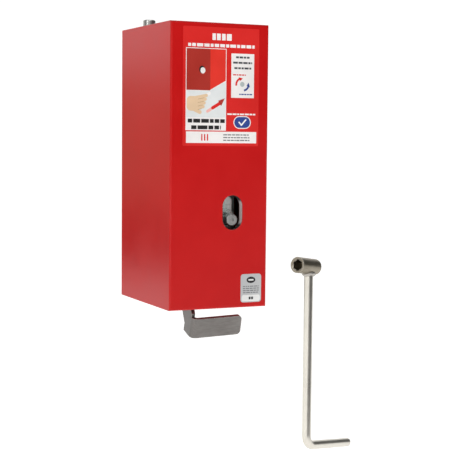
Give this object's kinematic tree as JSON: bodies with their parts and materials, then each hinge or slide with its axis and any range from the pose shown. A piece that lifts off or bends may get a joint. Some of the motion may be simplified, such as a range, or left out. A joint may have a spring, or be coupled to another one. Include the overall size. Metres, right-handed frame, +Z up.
{
  "type": "wall mounted hand winch control box with release lever and crank",
  "caption": "Tall sheet-steel wall box with a round-ended crank opening, a bent flat release lever below, a cable outlet on top and a loose rod crank.",
  "frame": {"origin": "centre of the four wall-fixing holes, in the wall plane", "axes": "+Z up, +Y into the wall, -Y towards the user; the cover's front face is at y = -0.165 m"},
  "size_m": [0.3231, 0.1654, 0.5693],
  "materials": {
    "zinc_plate": "bright zinc plated",
    "red_paint": "semi-gloss powder coat",
    "red_label": "printed film, satin",
    "silver_label": "printed metallised film",
    "steel": "turned or ground",
    "gear_steel": "oiled",
    "cast_aluminium": "cast, then turned",
    "cast_iron_rim": "turned",
    "bronze": "sintered, oiled",
    "spring_steel": "phosphated",
    "lever_steel": "bare flat bar, satin",
    "friction": "moulded brake lining",
    "crank_steel": "bright zinc plated rod"
  },
  "bodies": {
    "box": {"back_plate": "zinc_plate", "front_plate": "zinc_plate", "spacer_posts": "steel", "front_post_screws": "steel", "back_post_screws": "steel", "cover": "red_paint", "opening_collar": "zinc_plate", "cover_screws": "steel", "drum_axle": "steel", "axle_spacer": "steel", "axle_nut": "steel", "rear_shaft_bush": "bronze", "front_bearing": "cast_aluminium", "bearing_screws": "steel", "lever_bracket": "zinc_plate", "bracket_screws": "steel", "lever_pin": "steel", "lever_pin_clip": "spring_steel", "plunger_guide": "zinc_plate", "guide_screws": "steel", "cable_ferrule": "zinc_plate", "ferrule_nut": "zinc_plate", "instruction_label": "red_label", "inspection_label": "silver_label"},
    "drum": {"cable_drum": "cast_aluminium", "drum_gear": "gear_steel", "brake_rim": "cast_iron_rim", "drum_screws": "steel", "drum_bushes": "bronze", "cable_clamp": "steel"},
    "drive": {"drive_shaft": "steel", "pinion": "gear_steel", "pinion_pin": "steel", "shaft_clips": "spring_steel"},
    "release_lever": {"lever": "lever_steel", "lever_hub": "steel"},
    "plunger": {"brake_plunger": "steel", "link_pin": "steel", "spring_collar": "steel", "brake_shoe": "steel", "brake_lining": "friction", "brake_spring": "spring_steel"},
    "crank": {"crank_socket": "crank_steel", "crank_rod": "crank_steel", "crank_weld": "crank_steel"}
  },
  "joints": [
    {"name": "drum_spin", "type": "hinge", "parent": "box", "child": "drum", "pos_m": [-0.0043, -0.05, -0.00712], "axis": [0, 1, 0], "continuous": true},
    {"name": "drive_spin", "type": "hinge", "parent": "box", "child": "drive", "pos_m": [0.0183, -0.05, -0.0627], "axis": [0, 1, 0], "continuous": true},
    {"name": "lever_pull", "type": "hinge", "parent": "box", "child": "release_lever", "pos_m": [-0.02625, -0.114, -0.1275], "axis": [-1, 0, 0], "range_deg": [0, 10], "stiffness_Nm_per_rad": 4, "springref_deg": -11.46},
    {"name": "brake_release", "type": "slide", "parent": "box", "child": "plunger", "axis": [0, 0, -1], "range_m": [0, 0.0043], "deforming": ["brake_spring"]},
    {"name": "crank_lift", "type": "slide", "parent": "box", "child": "crank", "axis": [0, 0, 1], "range_m": [0, 0.08]}
  ],
  "couplings": [
    {"joint": "drive_spin", "follows": "drum_spin", "ratio": -4},
    {"joint": "brake_release", "follows": "lever_pull", "m_per_rad": 0.024}
  ]
}
